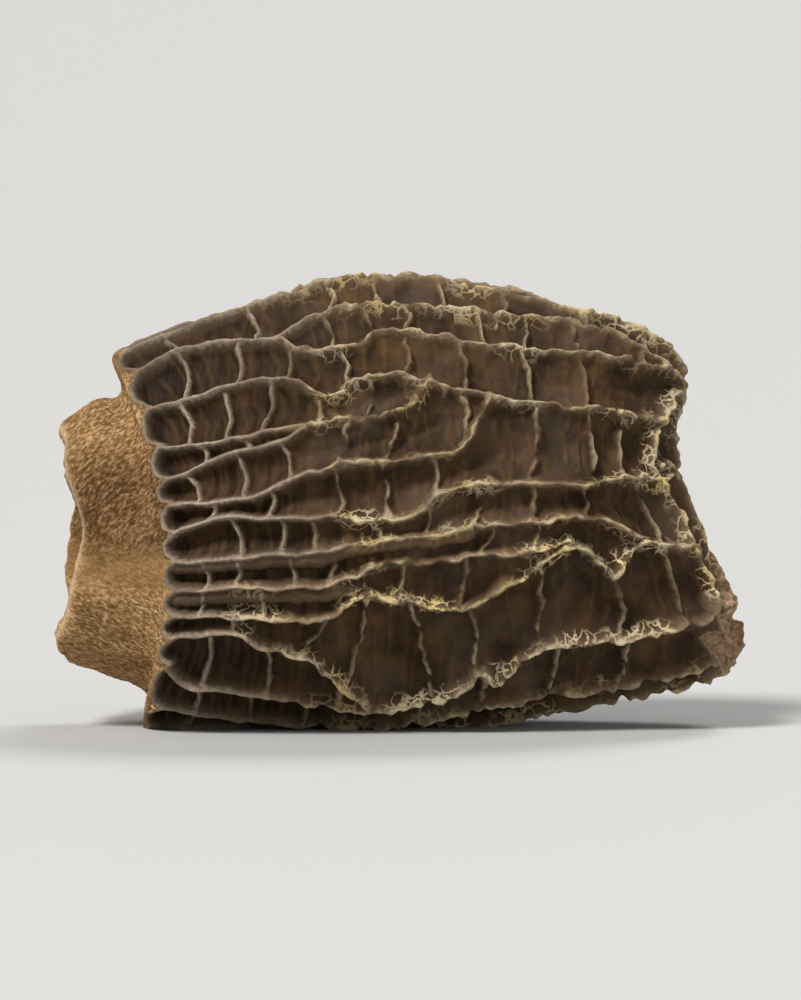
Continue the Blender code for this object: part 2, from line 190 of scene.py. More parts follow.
# Main ribs on the side that shows: (along, height above the ground), from the margin to the tip.
FRONT_RIBS = (
    ((4.6, 18.6), (7.2, 20.3), (10.7, 20.6), (12.4, 20.2), (15.2, 20.7), (16.9, 21.2), (23.1, 20.3),
     (29.0, 19.4), (32.2, 18.9)),
    ((4.6, 16.9), (7.8, 18.0), (10.9, 18.7), (13.5, 17.9), (15.2, 18.9), (18.0, 18.9), (21.7, 17.8),
     (26.6, 17.0), (33.7, 16.0)),
    ((4.6, 15.0), (9.5, 15.8), (12.4, 16.5), (15.2, 16.8), (17.5, 17.5), (18.6, 18.9)),
    ((4.6, 13.4), (6.7, 14.1), (8.7, 14.9), (11.0, 15.5), (12.6, 16.5)),
    ((4.6, 12.2), (9.5, 12.6), (11.2, 13.3), (13.2, 14.2), (15.2, 14.6), (19.5, 15.1), (20.6, 16.0),
     (21.7, 17.8)),
    ((4.6, 10.7), (8.4, 11.6), (11.2, 11.6), (17.2, 11.9), (19.5, 13.2), (22.3, 13.4), (25.5, 13.0),
     (29.0, 13.2), (34.2, 13.4)),
    ((4.6, 9.2), (8.1, 9.4), (12.9, 9.8), (15.2, 10.4), (20.9, 11.2), (25.4, 11.3), (28.0, 11.0),
     (30.0, 10.2)),
    ((4.6, 7.7), (8.1, 7.8), (12.4, 8.0), (14.6, 8.5), (16.0, 9.2), (19.2, 9.6), (23.7, 9.6), (25.7, 9.9)),
    ((4.6, 6.4), (11.2, 6.2), (13.5, 6.4), (15.8, 7.7), (17.8, 7.2), (20.9, 6.8), (23.7, 8.5), (26.0, 9.6),
     (27.1, 8.8), (28.1, 7.9), (28.7, 9.0), (30.5, 9.9), (34.0, 10.2)),
    ((4.6, 5.2), (8.7, 5.4), (10.1, 4.7), (12.9, 4.0), (13.8, 3.1), (16.0, 1.7)),
    ((4.6, 3.9), (6.1, 2.7), (8.1, 2.4), (11.2, 2.0), (13.5, 1.6), (16.6, 1.6), (20.0, 2.1), (21.7, 3.3),
     (22.6, 2.7), (24.3, 4.1), (28.0, 4.7), (31.7, 6.1), (34.4, 7.2)),
    ((4.6, 1.7), (9.5, 0.7), (16.0, 0.5), (22.3, 1.3), (27.0, 2.0), (30.5, 3.0), (33.7, 4.4)),
    ((10.7, 20.6), (13.0, 21.9), (17.0, 22.5), (22.0, 22.0), (28.0, 21.0), (33.4, 18.4)),
)
# Links between them: (rib, along there, next rib, along there), with the ribs counted from the top.
FRONT_LINKS = (
    (0, 6.6, 1, 6.4), (0, 8.9, 1, 8.8), (0, 11.4, 1, 11.2), (0, 14.0, 1, 14.3), (0, 17.4, 1, 17.2),
    (0, 20.2, 1, 20.6), (0, 23.6, 1, 23.9), (0, 26.6, 1, 27.0),
    (1, 6.2, 2, 6.3), (1, 8.3, 2, 8.3), (1, 10.6, 2, 10.1), (1, 12.7, 2, 12.9), (1, 15.6, 2, 15.3),
    (2, 7.0, 3, 7.1), (2, 9.2, 3, 9.6),
    (2, 14.4, 4, 14.1), (2, 16.8, 4, 16.4), (1, 20.4, 4, 20.0),
    (3, 6.0, 4, 6.6), (3, 9.0, 4, 9.4), (3, 11.2, 4, 11.7),
    (4, 7.6, 5, 7.4), (4, 10.8, 5, 10.6), (4, 13.8, 5, 14.2), (4, 16.2, 5, 16.6), (4, 18.6, 5, 18.9),
    (1, 24.2, 5, 23.6), (1, 27.0, 5, 27.4), (1, 30.2, 5, 30.4),
    (5, 8.7, 6, 9.2), (5, 11.2, 6, 11.3), (5, 12.9, 6, 12.9), (5, 15.9, 6, 16.1), (5, 18.6, 6, 18.4),
    (5, 21.0, 6, 20.8), (5, 23.7, 6, 23.6), (5, 26.4, 6, 26.6),
    (6, 6.8, 7, 7.0), (6, 8.9, 7, 8.8), (6, 11.6, 7, 11.9), (6, 14.0, 7, 13.6), (6, 19.0, 7, 18.6),
    (6, 21.7, 7, 21.2), (6, 24.0, 7, 23.7),
    (7, 6.7, 8, 6.7), (7, 10.0, 8, 10.3), (7, 17.5, 8, 17.3), (7, 20.6, 8, 20.3), (5, 31.6, 8, 31.9),
    (8, 8.4, 9, 8.6), (8, 13.8, 9, 12.2), (8, 15.8, 10, 14.1), (8, 17.8, 10, 19.3), (8, 24.2, 10, 24.3),
    (8, 28.1, 10, 28.2), (8, 20.9, 10, 21.4), (8, 31.6, 10, 31.2),
    (9, 7.3, 10, 7.0), (9, 10.3, 10, 10.4), (10, 6.6, 11, 6.7), (10, 9.2, 11, 9.4), (10, 12.3, 11, 12.1),
    (10, 15.2, 11, 15.4), (10, 18.4, 11, 18.2), (10, 21.9, 11, 21.6), (10, 25.2, 11, 25.0),
    (10, 28.4, 11, 28.2),
)

# The upper two ribs part at this distance: links start from the one before it and the other after it.
FORK_AT = 11.5

# Neighbours on the side that shows, between which the fine folds cross.
FRONT_NEIGHBOURS = ((0, 1), (1, 2), (2, 3), (2, 4), (3, 4), (4, 5), (1, 5), (5, 6), (6, 7), (7, 8), (5, 8),
                    (8, 9), (8, 10), (9, 10), (10, 11))

# Main ribs round the rest of the cap, placed by rule: every second one joins a neighbour.
HIDDEN_RIBS = 18
HIDDEN_ARC = (80.0, 287.0)
HIDDEN_UNEVEN = 0.18
HIDDEN_WANDER = 3.2
WANDER_RATE = (0.25, 0.42)
HIDDEN_RIPPLE = 1.6
RIPPLE_RATE = 1.3
HIDDEN_JOIN = (10.0, 22.0)
JOIN_OVER = 4.0

# One seed for all draws. The fields of noise are told apart by this step between them.
SEED = 23
SEED_STEP = 7.3

# Cross ribs and folds by rule: the gaps between them, the first one's share of a gap, and how far they
# stay from where two ribs end or a joined rib has ended.
LINK_GAP = (1.7, 3.1)
FOLD_GAP = (0.45, 1.2)
FIRST_GAP = 0.8
END_GAP = 0.8
JOIN_GAP = 0.6
LINK_SLANT = 0.5
LINK_BOW = 0.25
GAP_GROWTH = 0.02

# Two rings of ribs round the tip, with small waves as (how many round, phase, size), and the ribs between
# the rings: (degrees, twist on the way).
TIP_RIB_AT = 33.6
TIP_RIB_WAVES = (
    (5, 2.0, 0.35),
    (11, 0.0, 0.2),
)
INNER_TIP_RIB_AT = 34.83
INNER_TIP_RIB_WAVES = (
    (3, 1.0, 0.05),
)
TIP_SPOKES = ((-74, 16), (-30, -14), (22, 16), (74, -12), (118, 14), (168, -14), (222, 12))

# Two ribs on the side that shows are fat and flat: (along, height above the ground) of their middles.
FAT_RIBS = (
    ((4.9, 7.2), (9.0, 7.3), (12.5, 7.4), (15.0, 7.9)),
    ((4.9, 8.95), (8.1, 9.05), (12.9, 9.45), (16.0, 10.3), (20.5, 10.9)),
)
FAT_RADIUS = 0.52
FAT_RISE = 0.82

# How much of the frayed crests has crumbled to lace, in patches of this size.
LACE_SHARE = 0.75
LACE_PATCH = 3.5

# Where the crests on the side that shows have crumbled to lace: (along, height, reach).
FRAYED_SPOTS = (
    (9.8, 6.4, 1.7),
    (15.6, 11.9, 1.7),
    (16.0, 7.4, 2.3),
    (19.0, 7.0, 1.5),
    (24.6, 9.2, 2.2),
    (28.4, 9.4, 1.6),
    (31.0, 9.8, 1.0),
    (14.3, 3.1, 1.1),
    (18.6, 2.1, 2.3),
    (22.8, 2.9, 1.5),
    (26.2, 4.3, 1.3),
    (29.5, 5.0, 1.5),
    (30.0, 15.5, 1.8),
    (33.4, 14.0, 2.2),
    (34.0, 8.6, 1.4),
)

# The torn, paler spot low on the tip.
TORN_PATCH = (34.6, -2.5, 5.6)
TORN_REACH = (1.3, 2.6, 2.6)
TORN_EDGE = 1.6
TORN_UNEVEN = 0.6

# Lumps of the skin all over the cap, and the stub's long creases and mealy grains: (height, size).
SKIN_LUMPS = (0.07, 1.0)
FINE_SKIN_LUMPS = (0.02, 0.35)
CREASES = (0.16, 1.3)
FINE_CREASES = (0.09, 0.5)
CREASE_DRIFT = (0, 0, 0.3)
MEAL = (0.05, 0.32)
FINE_MEAL = (0.035, 0.15)
STUB_RADIUS = 4

# The large creases and hollows that drying left: (along, across, height, radius, depth).
DENTS = (
    (26.5, -9.0, 6.8, 4.6, 1.0),
    (19.0, -10.5, 5.0, 3.6, 0.7),
    (15.0, 9.5, 16.0, 6.0, 1.5),
    (24.0, 8.0, 8.0, 5.0, 1.2),
    (9.0, 6.5, 19.0, 4.0, 0.8),
)
DENT_MIDDLE = (17.0, 0.0, 11.5)
WARP = 0.6
WARP_WAVELENGTH = 16.0
NEAR_WARP_SHARE = 0.24
WARP_CHANGE = 4

# The ground has worn the lowest crests to a small flat.
WORN_FLAT = 0.65

# Mesh fineness before and after the smooth parts are thinned out. The rows run from the tip's pole, past
# the margin and the rim at these shares, to the pole inside.
AROUND = 880
ROWS = 500
MARGIN_ROW = 0.72
RIM_ROW = 0.84
PAST_RIM = 0.6
TRIANGLES = 195000
FINENESS = 1.0
POLE_GAP = 0.1

# The thinning folds a few faces over. They are smoothed in passes until they face outwards again.
UNFOLD_PASSES = 5
FOLDED_BELOW = 0.6


def eased(share):
    """A share from 0 to 1, clipped and eased at both ends."""
    share = np.clip(share, 0, 1)
    return share**2 * (3 - 2 * share)


def smooth_line(points, per_span=PER_SPAN):
    """A smooth curve through the points, as a dense array."""
    points = np.asarray(points, float)
    ends = np.vstack([2 * points[0] - points[1], points, 2 * points[-1] - points[-2]])
    share = np.linspace(0, 1, per_span, endpoint=False)[:, None]
    spans = []
    for before, start, end, after in zip(ends, ends[1:], ends[2:], ends[3:]):
        bend = 2 * before - 5 * start + 4 * end - after
        twist = 3 * start - before - 3 * end + after
        spans.append(start + 0.5 * share * (end - before + share * (bend + share * twist)))
    return np.vstack([*spans, points[-1:]])


def outline():
    """The body's outline by its own length: columns length, along, half height, half depth, centre."""
    line = smooth_line([*OUTER_CAP, *STEM_STUB, *HOLLOW])
    line[:, 1:3] = np.maximum(line[:, 1:3], 0)
    steps = np.hypot(np.diff(line[:, 0]), np.diff(line[:, 1:3].mean(axis=1)))
    return np.column_stack([np.r_[0, np.cumsum(steps)], line])


OUTLINE = outline()
MARGIN_INDEX = (len(OUTER_CAP) - 1) * PER_SPAN
RIM_INDEX = (len(OUTER_CAP) + len(STEM_STUB)) * PER_SPAN
CAP = OUTLINE[:MARGIN_INDEX + 1]
MARGIN = OUTLINE[MARGIN_INDEX, 0]
RIM = OUTLINE[RIM_INDEX, 0]


def section(length):
    """Along, half height, half depth and centre height of the body at a length on its outline."""
    return [np.interp(length, OUTLINE[:, 0], OUTLINE[:, column]) for column in range(1, 5)]


def length_at(along):
    """The outline length at which the cap's outside reaches a distance along the body."""
    return np.interp(-np.asarray(along, float), -CAP[:, 1], CAP[:, 0])


def surface(length, angle):
    """Points of the smooth body. The angle is in radians: 0 faces the side that shows, 90 degrees is up."""
    along, half_height, half_depth, centre = section(length)
    margin_lean = MARGIN_SADDLE * np.cos(2 * angle) - MARGIN_SLANT * np.sin(angle)
    near_margin = np.exp(-(((length - MARGIN) / MARGIN_REACH) ** 2))
    cut = sum(size * np.sin(count * angle + phase) for count, phase, size in RIM_WAVES)
    for degrees, spread, depth in RIM_NOTCHES:
        away = (np.degrees(angle) - degrees + 180) % 360 - 180
        cut += depth * np.exp(-((away / spread) ** 2))
    near_rim = np.exp(-(((length - RIM) / RIM_REACH) ** 2))
    x = along + margin_lean * near_margin + cut * near_rim
    y = -half_depth * np.cos(angle)
    z = centre + half_height * np.sin(angle)
    for height, spread, push in TIP_LEAN:
        x += push * np.exp(-(((z - height) / spread) ** 2)) * eased((along - TIP_FROM) / TIP_FADE)
    return np.column_stack([x, y, z])


def outward(length, angle):
    """Unit normals of the smooth body."""
    step = 0.02
    length = np.clip(length, POLE_GAP, OUTLINE[-1, 0] - POLE_GAP)
    down = surface(length + step, angle) - surface(length - step, angle)
    across = surface(length, angle + step) - surface(length, angle - step)
    normal = np.cross(across, down)
    return normal / np.maximum(np.linalg.norm(normal, axis=1), 1e-9)[:, None]


def angle_of_height(along, height):
    """The angle at which the side that shows has a given height."""
    _, half_height, _, centre = section(length_at(along))
    return np.arcsin(np.clip((np.asarray(height) - centre) / np.maximum(half_height, 0.1), -0.99, 0.99))


def near_lines(lines):
    """Lines on the side that shows, from rows of (along, height) to smooth rows of (along, angle)."""
    found = []
    for points in lines:
        line = smooth_line(points, 12)
        found.append(np.column_stack([line[:, 0], angle_of_height(line[:, 0], line[:, 1])]))
    return found


def hidden_ribs(draw):
    """The ribs round the rest of the cap. Every second one joins a neighbour before the tip."""
    ribs = []
    start, end = HIDDEN_ARC
    step = (end - start) / (HIDDEN_RIBS - 1)
    for number in range(HIDDEN_RIBS):
        base = start + step * (number + draw.uniform(-HIDDEN_UNEVEN, HIDDEN_UNEVEN))
        phase = draw.uniform(0, 2 * math.pi)
        rate = draw.uniform(*WANDER_RATE)
        joins = number % 2 == 1
        last = draw.uniform(*HIDDEN_JOIN) if joins else TIP_RIB_AT
        along = np.linspace(MARGIN_AT, last, 60)
        wander = HIDDEN_WANDER * np.sin(along * rate + phase)
        ripple = HIDDEN_RIPPLE * np.sin(along * RIPPLE_RATE + 2 * phase)
        degrees = base + (wander + ripple)
        if joins:
            degrees += step * draw.choice((-1, 1)) * eased((along - last) / JOIN_OVER + 1)
        ribs.append(np.column_stack([along, np.radians(degrees)]))
    return ribs


def link(rib_a, along_a, rib_b, along_b):
    """A short cross rib from one rib to another, bowed a little towards the tip."""
    angle_a = np.interp(along_a, rib_a[:, 0], rib_a[:, 1])
    angle_b = np.interp(along_b, rib_b[:, 0], rib_b[:, 1])
    share = np.linspace(0, 1, 20)
    bow = LINK_BOW * np.sin(math.pi * share)
    along = along_a + (along_b - along_a) * share + bow
    return np.column_stack([along, angle_a + (angle_b - angle_a) * share])


def rungs(rib_a, rib_b, draw, gap=LINK_GAP):
    """Cross ribs between two neighbours, at gaps that vary and widen towards the tip."""
    found = []
    along = max(rib_a[0, 0], rib_b[0, 0]) + draw.uniform(*gap) * FIRST_GAP
    while along < min(rib_a[-1, 0], rib_b[-1, 0]) - END_GAP:
        found.append(link(rib_a, along, rib_b, along + draw.uniform(-LINK_SLANT, LINK_SLANT)))
        along += draw.uniform(*gap) * (1 + GAP_GROWTH * (along - MARGIN_AT))
    return found


def hidden_links(ribs, draw, gap=LINK_GAP):
    """The rungs round the hidden part. Where a rib has joined its neighbour, they cross to the next one."""
    found = []
    for rib_a, rib_b in zip(ribs, ribs[1:]):
        found += rungs(rib_a, rib_b, draw, gap)
    for before, joined, after in zip(ribs, ribs[1:], ribs[2:]):
        past = joined[-1, 0] + JOIN_GAP
        if past < min(before[-1, 0], after[-1, 0]):
            found += rungs(before[before[:, 0] > past], after[after[:, 0] > past], draw, gap)
    return found


def margin_line(angle, rib_angles):
    """How far along the cap's margin is at each angle: scalloped, with a cusp at each rib."""
    turns = np.sort(np.mod(rib_angles, 2 * math.pi))
    turns = np.r_[turns[-1] - 2 * math.pi, turns, turns[0] + 2 * math.pi]
    angle = np.mod(angle, 2 * math.pi)
    after = np.searchsorted(turns, angle).clip(1, len(turns) - 1)
    share = (angle - turns[after - 1]) / (turns[after] - turns[after - 1])
    return SCALLOP_AT + SCALLOP_CUSP * np.abs(2 * share - 1) ** 3


def ring(along, ring_waves, samples):
    """A wavy line right round the cap."""
    angle = np.linspace(-math.pi, math.pi, samples)
    for count, phase, size in ring_waves:
        along = along + size * np.sin(count * angle + phase)
    return np.column_stack([along, angle])


def end_ribs(rib_angles):
    """The rounded edges that close the cells at the cap's margin and round its tip."""
    angle = np.linspace(-math.pi, math.pi, RING_SAMPLES)
    margin = np.column_stack([margin_line(angle, rib_angles), angle])
    return [margin, ring(TIP_RIB_AT, TIP_RIB_WAVES, RING_SAMPLES)]


def tip_ribs():
    """The ribs that run on over the blunt tip, and the small inner ring where they end."""
    share = np.linspace(0, 1, SPOKE_SAMPLES)
    along = TIP_RIB_AT + (INNER_TIP_RIB_AT - TIP_RIB_AT) * share
    spokes = [np.column_stack([along, np.radians(start + twist * share)]) for start, twist in TIP_SPOKES]
    return [*spokes, ring(INNER_TIP_RIB_AT, INNER_TIP_RIB_WAVES, INNER_RING_SAMPLES)]


def top_links(first, upper, hidden, draw, gap=LINK_GAP):
    """The links over the top, between the two ribs that part there and the first hidden one."""
    before_fork = first[first[:, 0] < FORK_AT]
    past_fork = first[first[:, 0] > FORK_AT]
    upper = upper[upper[:, 0] > FORK_AT]
    links = rungs(before_fork, hidden, draw, gap)
    links += rungs(upper, hidden, draw, gap)
    return links + rungs(upper, past_fork, draw, gap)


def net():
    """The main ribs, the cross ribs, the folds across the pits, and the ribs' angles at the margin."""
    draw = np.random.default_rng(SEED)
    front = near_lines(FRONT_RIBS)
    hidden = hidden_ribs(draw)
    last = front[-2] + (0, 2 * math.pi)
    links = [link(front[a], along_a, front[b], along_b) for a, along_a, b, along_b in FRONT_LINKS]
    links += top_links(front[0], front[-1], hidden[0], draw)
    links += hidden_links([*hidden, last], draw)
    folds = [fold for a, b in FRONT_NEIGHBOURS for fold in rungs(front[a], front[b], draw, FOLD_GAP)]
    folds += top_links(front[0], front[-1], hidden[0], draw, FOLD_GAP)
    folds += hidden_links([*hidden, last], draw, FOLD_GAP)
    rib_angles = np.array([rib[0, 1] for rib in [*front[:-1], *hidden]])
    return [*front, *hidden, *end_ribs(rib_angles), *tip_ribs()], links, folds, rib_angles


def crest_tree(lines):
    """A search tree of points along the crests, on the smooth body."""
    found = []
    for line in lines:
        points = surface(length_at(line[:, 0]), line[:, 1])
        run = np.r_[0, np.cumsum(np.linalg.norm(np.diff(points, axis=0), axis=1))]
        at = np.linspace(0, run[-1], max(2, int(run[-1] / RIB_STEP)))
        found.append(np.column_stack([np.interp(at, run, points[:, axis]) for axis in range(3)]))
    points = np.vstack(found)
    tree = kdtree.KDTree(len(points))
    for index, point in enumerate(points.tolist()):
        tree.insert(point, index)
    tree.balance()
    return tree


def distances(tree, points):
    """Each point's distance from the nearest crest."""
    return np.array([tree.find(point)[2] for point in points.tolist()])


def grain(points, size, seed):
    """Smooth noise, about -1 to 1, with lumps of the given size at each point."""
    return np.array([noise.noise(point) for point in (points / size + SEED_STEP * seed).tolist()])


def lumps(points, height_and_size, seed):
    """Noise of the given height and size at each point."""
    height, size = height_and_size
    return height * grain(points, size, seed)


def sway(points, size, seed):
    """A noise vector at each point."""
    return np.array([noise.noise_vector(point) for point in (points / size + SEED_STEP * seed).tolist()])


def bump_of(distance, radius):
    """1 on a line, and 0 beside it."""
    return np.exp(-((distance / radius) ** 2))


def flat_bump(distance, radius):
    """1 on a line and close to it, and 0 beside it."""
    return bump_of(distance**2, radius**2)


def foot(distance, width):
    """1 on a line, falling to 0 at the width."""
    return np.clip(1 - distance / width, 0, 1) ** 2


def between(share, first, second):
    """From the first value to the second."""
    return first + (second - first) * share


def lace_share(points, fray):
    """How much of the crests has crumbled to lace: at some spots on the side that shows, and in patches."""
    share = LACE_SHARE * fray * eased(1.3 * grain(points, LACE_PATCH, 18) + 0.3)
    for along, height, reach in FRAYED_SPOTS:
        spot = surface(length_at([along]), angle_of_height([along], [height]))
        share = np.maximum(share, flat_bump(np.linalg.norm(points - spot, axis=1), reach))
    return share


def wavering(points, fray):
    """The points moved a little, so that the net's lines waver, and more so where they are frayed."""
    moved = points + between(fray, *WAVER)[:, None] * sway(points, WAVER_SIZE, 1)
    return moved + between(fray, *FINE_WAVER)[:, None] * sway(points, FINE_WAVER_SIZE, 2)


def net_rise(fray, main_core, cross_core, from_main, from_cross, from_fat):
    """How high the net stands, from 0 in a pit to 1 on a crest. A crest has a round core on a wide foot."""
    share = between(fray, FOOT_SHARE, FRAYED_FOOT_SHARE)
    main_foot = foot(from_main, between(fray, FOOT_WIDTH, FRAYED_FOOT_WIDTH))
    main_rise = (1 - share) * main_core + share * main_foot
    cross_foot = foot(from_cross, FOOT_WIDTH)
    cross_rise = CROSS_RIB_RISE * ((1 - FOOT_SHARE) * cross_core + FOOT_SHARE * cross_foot)
    fat_rise = FAT_RISE * flat_bump(from_fat, FAT_RADIUS)
    return np.maximum(np.maximum(main_rise, cross_rise), fat_rise)


def crumbled(points, fray, laced, main_core, cross_core, near_tip):
    """How the crests rise and fall: crumbs where they have turned to lace, and waves where they fray."""
    crumbs = lumps(points, CRUMB_LUMPS, 7) + lumps(points, FINE_CRUMB_LUMPS, 8)
    crumbs = between(laced, *CRUMBS) * near_tip * crumbs * np.maximum(main_core, CROSS_CRUMBS * cross_core)
    crest_waves = between(fray, *CREST_WAVES) * near_tip**2 * main_core * grain(points, CREST_WAVE_SIZE, 9)
    return crumbs, crest_waves


def cap_relief(length, angle, points):
    """How far each point of the cap's outside sinks below the crests, and its marks for the colours."""
    main, cross, folds, rib_angles = net()
    along = section(length)[0]
    fray = eased((along - FRAY_FROM) / FRAY_OVER + FRAY_UNEVEN * grain(points, FRAY_SIZE, 4))
    laced = lace_share(points, fray)
    moved = wavering(points, fray)
    from_main = distances(crest_tree(main), moved)
    from_cross = distances(crest_tree(cross), moved)
    from_fat = distances(crest_tree(near_lines(FAT_RIBS)), moved)
    from_fold = distances(crest_tree(folds), moved + FOLD_WAVER * sway(points, FOLD_WAVER_SIZE, 3))
    width = 1 + CREST_UNEVEN * grain(points, WIDTH_SIZE, 5)
    main_core = bump_of(from_main, between(fray, CREST_RADIUS, FRAYED_CREST_RADIUS) * width)
    cross_core = bump_of(from_cross, CROSS_CREST_RADIUS * width)
    rise = net_rise(fray, main_core, cross_core, from_main, from_cross, from_fat)
    fold_share = FOLD_SHARE + grain(points, FOLD_SIZE, 6)
    rise += FOLD_RISE * bump_of(from_fold, FOLD_RADIUS) * (1 - rise) * fold_share
    near_tip = np.clip(length / TIP_BAND, TIP_SHARE, 1)
    crumbs, crest_waves = crumbled(points, fray, laced, main_core, cross_core, near_tip)
    rise += crumbs
    rise += crest_waves
    rise += between(fray, *FIBRES) * grain(points * FIBRE_STRETCH, FIBRE_SIZE, 10)
    rise += lumps(points, SKIN_LUMPS, 14) + lumps(points, FINE_SKIN_LUMPS, 15)
    near_margin = np.clip((MARGIN - length) / MARGIN_BAND, 0, 1)
    depth = PIT_DEPTH * (1 - rise) + SAG * (1 - bump_of(from_main, SAG_REACH))
    off_torn = np.linalg.norm((points - TORN_PATCH) / TORN_REACH, axis=1)
    marks = {
        "rise": np.clip(rise, 0, 1),
        "from_main": np.clip(from_main, 0, 2),
        "from_cross": np.clip(from_cross, 0, 2),
        "from_fold": np.clip(from_fold, 0, 2),
        "fray": fray,
        "laced": laced,
        "torn": eased(TORN_EDGE - off_torn + TORN_UNEVEN * grain(points, TORN_SIZE, 16)),
        "stem": eased((margin_line(angle, rib_angles) - STEM_FROM - along) / STEM_OVER),
    }
    return depth * near_tip * near_margin, marks


def waves(points, wavelength, seed, count=7):
    """A smooth seeded field, about -1 to 1, at each point."""
    draw = np.random.default_rng(seed)
    directions = draw.normal(size=(count, 3))
    directions /= np.linalg.norm(directions, axis=1)[:, None]
    phases = draw.uniform(0, 2 * math.pi, count)
    turns = points @ directions.T * (2 * math.pi / wavelength) + phases
    return np.sin(turns).sum(axis=1) / math.sqrt(count)


def dried(points):
    """The points after drying: dents sink towards the middle, and the whole body warps a little."""
    moved = points.copy()
    for along, across, height, radius, depth in DENTS:
        centre = np.array([along, across, height])
        inwards = (np.array(DENT_MIDDLE) - centre) * (0, 1, 1)
        inwards /= np.linalg.norm(inwards)
        fall = np.exp(-((points - centre) ** 2).sum(axis=1) / radius**2)
        moved += depth * fall[:, None] * inwards
    share = (1 + NEAR_WARP_SHARE + (1 - NEAR_WARP_SHARE) * np.tanh(points[:, 1] / WARP_CHANGE)) / 2
    for axis in range(3):
        moved[:, axis] += WARP * share * waves(points, WARP_WAVELENGTH, SEED + axis)
    return moved


def settled(points):
    """The points in the frame's place, resting on a worn flat, in metres."""
    ground = points[:, 2].min() + WORN_FLAT
    points[:, 2] = np.maximum(points[:, 2], ground)
    low, high = points.min(axis=0), points.max(axis=0)
    middle = (np.array(CAD_LOW) + np.array(CAD_HIGH)) / 2
    shift_x = (low[0] + high[0]) / 2 - middle[0] / MM
    shift_y = (low[1] + high[1]) / 2 - middle[1] / MM
    return (points - (shift_x, shift_y, ground)) * MM


def stem_relief(length, angle, points):
    """How far each point of the stub and the hollow rises: mealy grains on low, long creases."""
    round_stub = np.column_stack([np.cos(angle), np.sin(angle), 0 * angle]) * STUB_RADIUS
    creases = lumps(round_stub, CREASES, 13)
    creases += lumps(round_stub + length[:, None] * CREASE_DRIFT, FINE_CREASES, 17)
    meal = lumps(points, MEAL, 11) + lumps(points, FINE_MEAL, 12)
    return (creases + meal) * eased(length - MARGIN)


def body_points(sphere_points):
    """Where each vertex of a unit sphere goes, and its marks: one pole is the tip, the other is inside."""
    share = np.arccos(np.clip(sphere_points[:, 2], -1, 1)) / math.pi
    angle = np.arctan2(sphere_points[:, 1], sphere_points[:, 0])
    length = np.interp(share, (0, MARGIN_ROW, RIM_ROW, 1), (0, MARGIN, RIM + PAST_RIM, OUTLINE[-1, 0]))
    points = surface(length, angle)
    normals = outward(length, angle)
    on_cap = length < MARGIN
    depth = np.zeros(len(points))
    depth[on_cap], cap_marks = cap_relief(length[on_cap], angle[on_cap], points[on_cap])
    depth[~on_cap] = -stem_relief(length[~on_cap], angle[~on_cap], points[~on_cap])
    marks = {
        "hollow": eased((length - RIM - HOLLOW_FROM) / HOLLOW_OVER),
        "rim": bump_of(length - RIM + PALE_RIM_BEFORE, PALE_RIM_WIDTH),
    }
    for name, values in cap_marks.items():
        marks[name] = np.ones(len(points))
        marks[name][on_cap] = values
    points -= normals * depth[:, None]
    return settled(dried(points)), marks


def fine_sphere(shape):
    """A unit sphere of fine rows and columns, bent from a flat grid and sewn up along its edges."""
    bmesh.ops.create_grid(shape, x_segments=int(AROUND * FINENESS), y_segments=int(ROWS * FINENESS), size=1)
    for vertex in shape.verts:
        angle = math.pi * vertex.co.x
        turn = math.pi * (vertex.co.y + 1) / 2
        vertex.co = (math.sin(turn) * math.cos(angle), math.sin(turn) * math.sin(angle), math.cos(turn))
    edge = [vertex for vertex in shape.verts if vertex.is_boundary]
    bmesh.ops.remove_doubles(shape, verts=edge, dist=1e-6)


def thinned(body):
    """A copy of the mesh with the smooth parts' small faces merged."""
    thinner = body.modifiers.new("thinner", "DECIMATE")
    thinner.ratio = TRIANGLES * FINENESS**2 / (2 * len(body.data.polygons))
    thinner.use_collapse_triangulate = True
    mesh = bpy.data.meshes.new_from_object(body.evaluated_get(bpy.context.evaluated_depsgraph_get()))
    body.modifiers.remove(thinner)
    return mesh


def unfold(mesh):
    """Smooths the few spots where faces are folded over, and lifts what has sunk below the ground."""
    shape = bmesh.new()
    shape.from_mesh(mesh)
    for _ in range(UNFOLD_PASSES):
        folded = set()
        for face in shape.faces:
            first, second, third = face.verts
            if face.normal.dot(first.normal + second.normal + third.normal) < FOLDED_BELOW:
                folded.update(face.verts)
        bmesh.ops.smooth_vert(shape, verts=list(folded), factor=0.5, use_axis_x=True, use_axis_y=True,
                              use_axis_z=True)
        shape.normal_update()
    for vertex in shape.verts:
        vertex.co.z = max(vertex.co.z, 0)
    shape.to_mesh(mesh)
    shape.free()


def morel():
    """The whole dried morel, which grew as one piece."""
    mesh = bpy.data.meshes.new("dried_morel")
    shape = bmesh.new()
    fine_sphere(shape)
    points, marks = body_points(np.array([vertex.co for vertex in shape.verts]))
    for vertex, point in zip(shape.verts, points.tolist()):
        vertex.co = point
    if shape.calc_volume(signed=True) < 0:
        bmesh.ops.reverse_faces(shape, faces=shape.faces)
    shape.to_mesh(mesh)
    shape.free()
    for name, values in marks.items():
        mesh.attributes.new(name, "FLOAT", "POINT").data.foreach_set("value", values)
    mesh.shade_smooth()
    body = bpy.data.objects.new("dried_morel", mesh)
    bpy.context.scene.collection.objects.link(body)
    body.data = thinned(body)
    unfold(body.data)
    body.data.materials.append(morel_material())
    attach(body, "root")
    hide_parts("morel")


